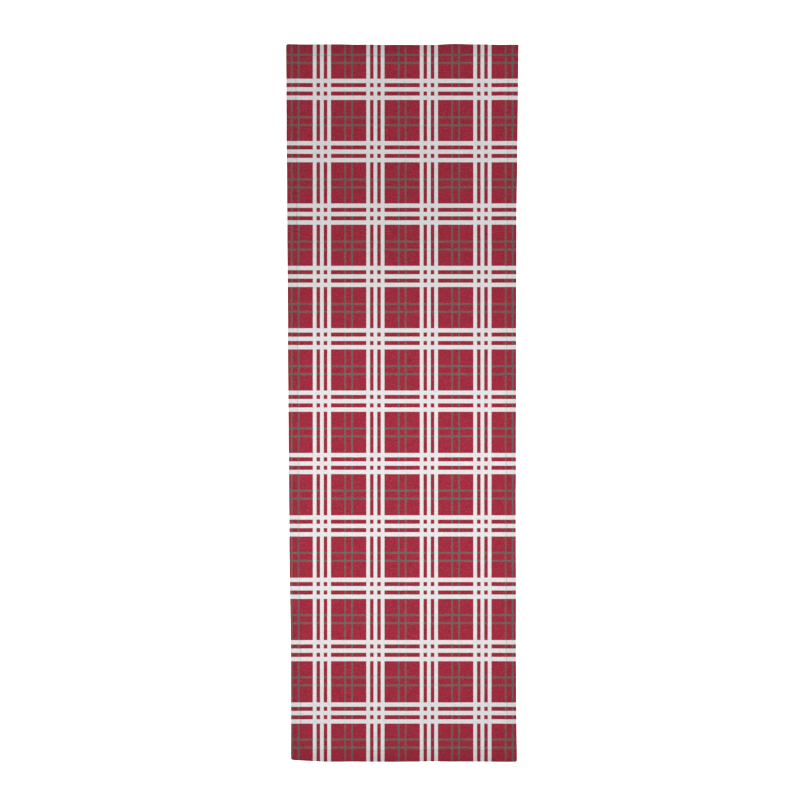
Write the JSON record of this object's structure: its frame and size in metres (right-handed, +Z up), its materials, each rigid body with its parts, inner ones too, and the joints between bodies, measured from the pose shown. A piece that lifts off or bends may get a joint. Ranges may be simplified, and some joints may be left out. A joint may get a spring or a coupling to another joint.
{
  "type": "table runner",
  "caption": "Long narrow table runner of one printed plaid canvas layer, with a turned and sewn hem on every side and ends that hang down or fold over.",
  "frame": {"origin": "on the surface that the runner lies on, under the middle of its underside", "axes": "+X to the right across the width with the printed face up, +Y along the length to the head end, +Z up out of the printed face"},
  "size_m": [0.406, 1.27, 0.0016],
  "materials": {
    "printed_cloth": "matt printed plain-weave canvas, red with white and grey-green plaid lines",
    "sewing_thread": "spun polyester sewing thread, red",
    "label_tape": "blank white woven satin tape"
  },
  "bodies": {
    "middle": {"middle_panel": "printed_cloth", "middle_left_hem": "printed_cloth", "middle_right_hem": "printed_cloth", "middle_left_needle_thread": "sewing_thread", "middle_right_needle_thread": "sewing_thread", "middle_left_bobbin_thread": "sewing_thread", "middle_right_bobbin_thread": "sewing_thread", "head_fold": "printed_cloth", "foot_fold": "printed_cloth"},
    "head_end": {"head_panel": "printed_cloth", "head_left_hem": "printed_cloth", "head_right_hem": "printed_cloth", "head_end_hem": "printed_cloth", "head_left_needle_thread": "sewing_thread", "head_right_needle_thread": "sewing_thread", "head_end_needle_thread": "sewing_thread", "head_left_bobbin_thread": "sewing_thread", "head_right_bobbin_thread": "sewing_thread", "head_end_bobbin_thread": "sewing_thread"},
    "foot_end": {"foot_panel": "printed_cloth", "foot_left_hem": "printed_cloth", "foot_right_hem": "printed_cloth", "foot_end_hem": "printed_cloth", "foot_left_needle_thread": "sewing_thread", "foot_right_needle_thread": "sewing_thread", "foot_end_needle_thread": "sewing_thread", "foot_left_bobbin_thread": "sewing_thread", "foot_right_bobbin_thread": "sewing_thread", "foot_end_bobbin_thread": "sewing_thread", "care_label": "label_tape"}
  },
  "joints": [
    {"name": "head_drop", "type": "hinge", "parent": "middle", "child": "head_end", "pos_m": [0, 0.33, 0.0035], "axis": [1, 0, 0], "range_deg": [-90, 179.9], "deforming": ["head_fold"]},
    {"name": "foot_drop", "type": "hinge", "parent": "middle", "child": "foot_end", "pos_m": [0, -0.33, 0.0035], "axis": [-1, 0, 0], "range_deg": [-90, 179.9], "deforming": ["foot_fold"]}
  ]
}
